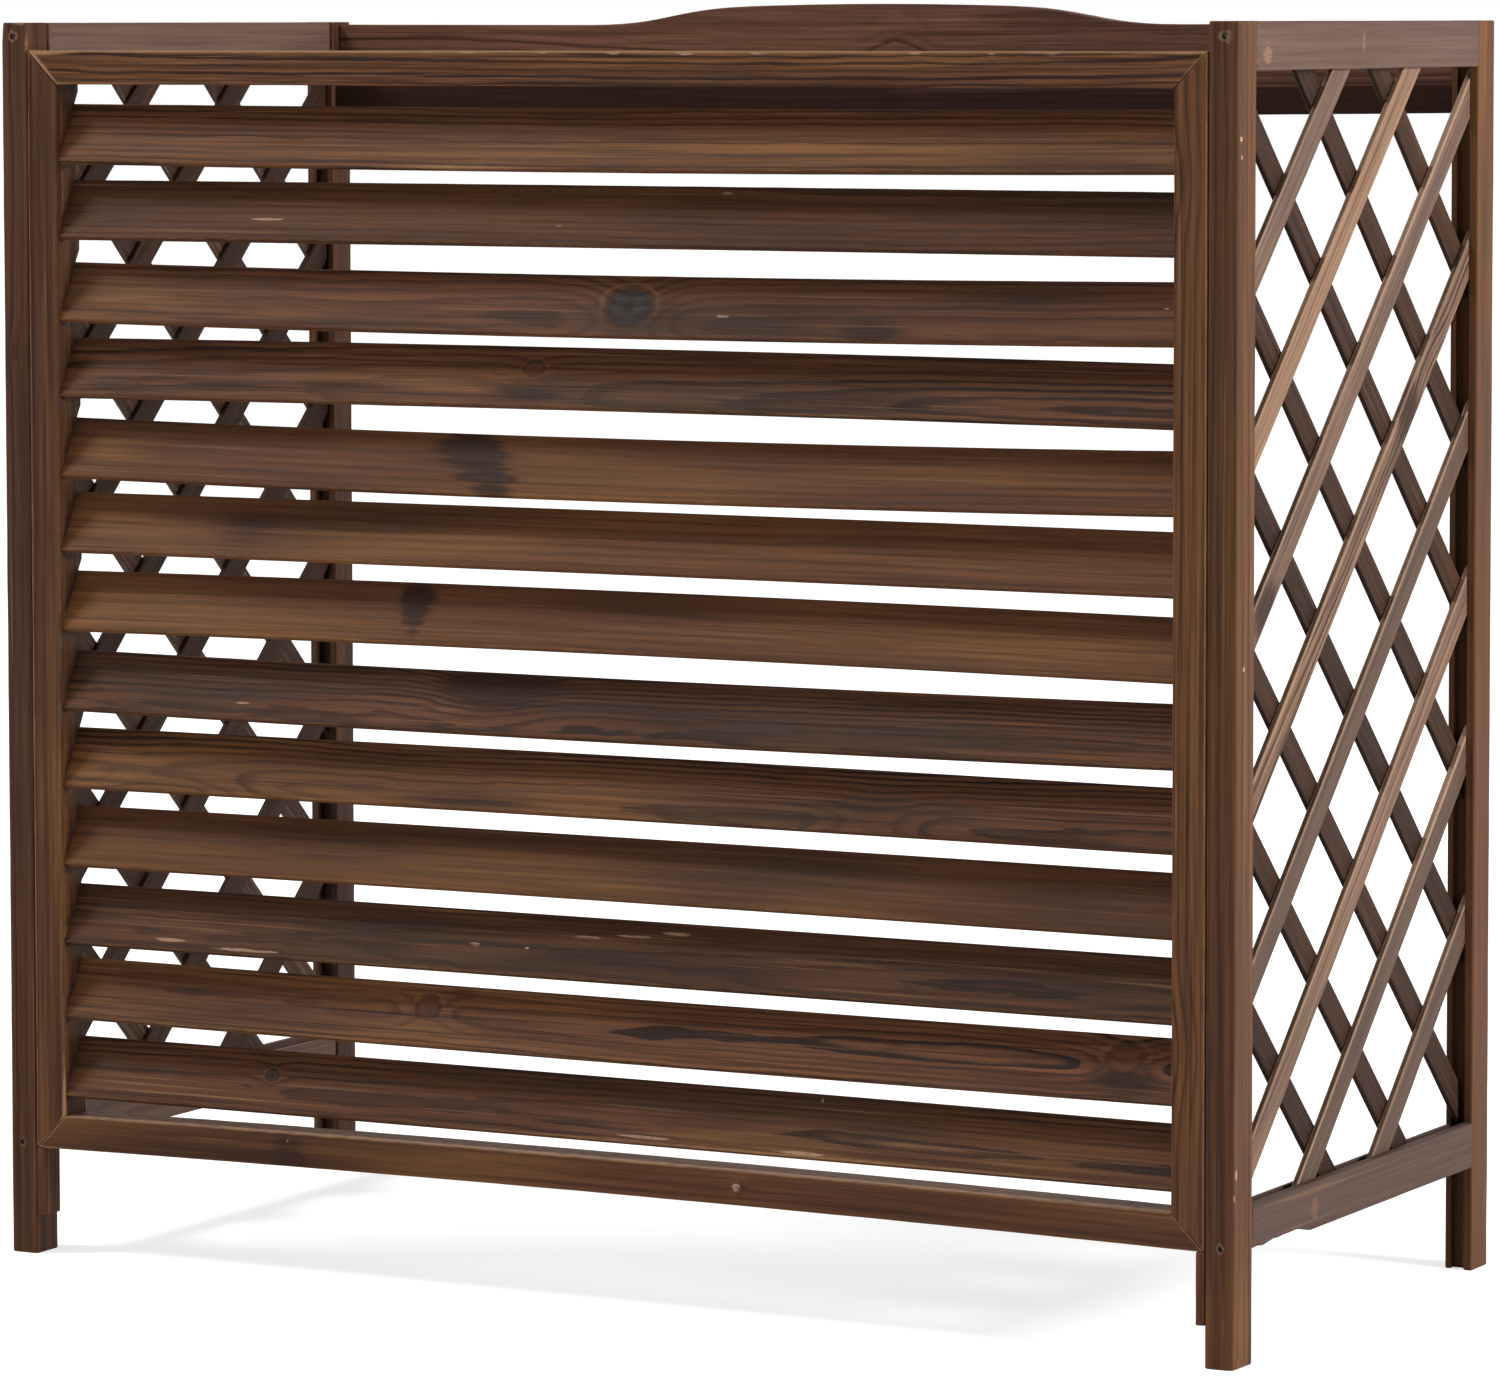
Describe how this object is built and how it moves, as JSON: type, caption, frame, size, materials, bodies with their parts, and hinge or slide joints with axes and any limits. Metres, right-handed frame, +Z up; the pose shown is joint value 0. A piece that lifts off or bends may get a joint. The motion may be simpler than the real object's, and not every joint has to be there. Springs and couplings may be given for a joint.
{
  "type": "air conditioner screen",
  "caption": "Free-standing wooden cover for an outdoor air conditioning unit, with a louvred front, lattice sides and an open back.",
  "frame": {"origin": "on the ground, under the middle of the screen", "axes": "+X to the right seen from the louvred front, +Y from the louvred front to the open back, +Z up"},
  "size_m": [0.98, 0.45, 0.913],
  "materials": {
    "post_wood": "carbonised fir, dark brown, planed and sealed",
    "side_rail_wood": "carbonised fir, greyish brown, planed and sealed",
    "frame_wood": "carbonised fir, dark brown, planed and sealed",
    "slat_wood": "carbonised fir, dark brown, knotty, planed and sealed",
    "back_board_wood": "carbonised fir, dark brown, planed and sealed",
    "cleat_wood": "carbonised fir, dark brown, rough sawn",
    "outer_strip_wood": "carbonised fir, mid brown, sawn",
    "inner_strip_wood": "carbonised fir, dark brown, sawn"
  },
  "bodies": {
    "root": {"back_board": "back_board_wood", "cleat_left": "cleat_wood", "cleat_right": "cleat_wood", "lattice_left_inner_1": "inner_strip_wood", "lattice_left_inner_2": "inner_strip_wood", "lattice_left_inner_3": "inner_strip_wood", "lattice_left_inner_4": "inner_strip_wood", "lattice_left_inner_5": "inner_strip_wood", "lattice_left_inner_6": "inner_strip_wood", "lattice_left_inner_7": "inner_strip_wood", "lattice_left_inner_8": "inner_strip_wood", "lattice_left_outer_1": "outer_strip_wood", "lattice_left_outer_2": "outer_strip_wood", "lattice_left_outer_3": "outer_strip_wood", "lattice_left_outer_4": "outer_strip_wood", "lattice_left_outer_5": "outer_strip_wood", "lattice_left_outer_6": "outer_strip_wood", "lattice_left_outer_7": "outer_strip_wood", "lattice_left_outer_8": "outer_strip_wood", "lattice_right_inner_1": "inner_strip_wood", "lattice_right_inner_2": "inner_strip_wood", "lattice_right_inner_3": "inner_strip_wood", "lattice_right_inner_4": "inner_strip_wood", "lattice_right_inner_5": "inner_strip_wood", "lattice_right_inner_6": "inner_strip_wood", "lattice_right_inner_7": "inner_strip_wood", "lattice_right_inner_8": "inner_strip_wood", "lattice_right_outer_1": "outer_strip_wood", "lattice_right_outer_2": "outer_strip_wood", "lattice_right_outer_3": "outer_strip_wood", "lattice_right_outer_4": "outer_strip_wood", "lattice_right_outer_5": "outer_strip_wood", "lattice_right_outer_6": "outer_strip_wood", "lattice_right_outer_7": "outer_strip_wood", "lattice_right_outer_8": "outer_strip_wood", "louvre_rail_bottom": "frame_wood", "louvre_rail_top": "frame_wood", "louvre_stile_left": "frame_wood", "louvre_stile_right": "frame_wood", "post_front_left": "post_wood", "post_front_right": "post_wood", "post_rear_left": "post_wood", "post_rear_right": "post_wood", "rail_bottom_left": "side_rail_wood", "rail_bottom_right": "side_rail_wood", "rail_top_left": "side_rail_wood", "rail_top_right": "side_rail_wood", "slat_01": "slat_wood", "slat_02": "slat_wood", "slat_03": "slat_wood", "slat_04": "slat_wood", "slat_05": "slat_wood", "slat_06": "slat_wood", "slat_07": "slat_wood", "slat_08": "slat_wood", "slat_09": "slat_wood", "slat_10": "slat_wood", "slat_11": "slat_wood", "slat_12": "slat_wood", "slat_13": "slat_wood"}
  },
  "joints": []
}
